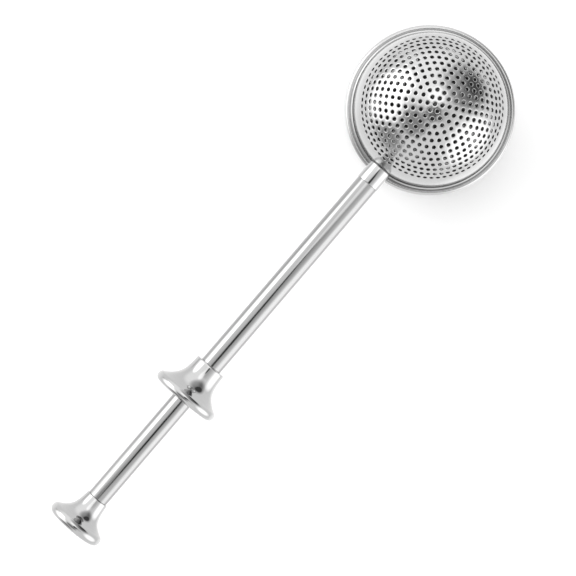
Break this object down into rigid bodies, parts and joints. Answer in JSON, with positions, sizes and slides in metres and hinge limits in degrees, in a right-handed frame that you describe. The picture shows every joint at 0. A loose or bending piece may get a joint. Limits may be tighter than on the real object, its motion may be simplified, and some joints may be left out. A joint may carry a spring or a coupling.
{
  "type": "tea strainer",
  "caption": "Perforated ball tea strainer on a telescoping push handle; pressing the thumb knob turns one bowl inside the other to open the ball.",
  "frame": {"origin": "under the middle of the bounding box, level with the lowest point of the ball", "axes": "+X along the handle from the thumb knob to the ball, +Z out of the fixed bowl's pole"},
  "size_m": [0.1976, 0.053, 0.0471],
  "materials": {
    "bowl_steel": "satin polished stainless steel, pressed and perforated",
    "rim_steel": "satin polished stainless steel, rolled",
    "tube_steel": "polished stainless steel, drawn tube",
    "polished_steel": "mirror polished stainless steel, turned",
    "inner_steel": "plain machined stainless steel"
  },
  "bodies": {
    "handle": {"front_bowl": "bowl_steel", "rim_ring": "rim_steel", "far_pivot_pin": "inner_steel", "neck_collar": "polished_steel", "outer_tube": "tube_steel", "finger_grip": "polished_steel", "return_spring": "inner_steel"},
    "plunger": {"push_tube": "tube_steel", "thumb_knob": "polished_steel", "drive_nut": "inner_steel"},
    "turning_bowl": {"moving_bowl": "bowl_steel", "drive_shaft": "inner_steel", "hub_washer": "inner_steel", "twist_strip": "inner_steel", "strip_stop": "inner_steel"}
  },
  "joints": [
    {"name": "push_slide", "type": "slide", "parent": "handle", "child": "plunger", "axis": [1, 0, 0], "range_m": [0, 0.03], "stiffness_N_per_m": 100, "springref_m": -0.03, "deforming": ["return_spring"]},
    {"name": "bowl_turn", "type": "hinge", "parent": "handle", "child": "turning_bowl", "pos_m": [0.07231, 0, 0.0231], "axis": [1, 0, 0], "range_deg": [0, 180]}
  ],
  "couplings": [
    {"joint": "bowl_turn", "follows": "push_slide", "rad_per_m": 104.72}
  ]
}
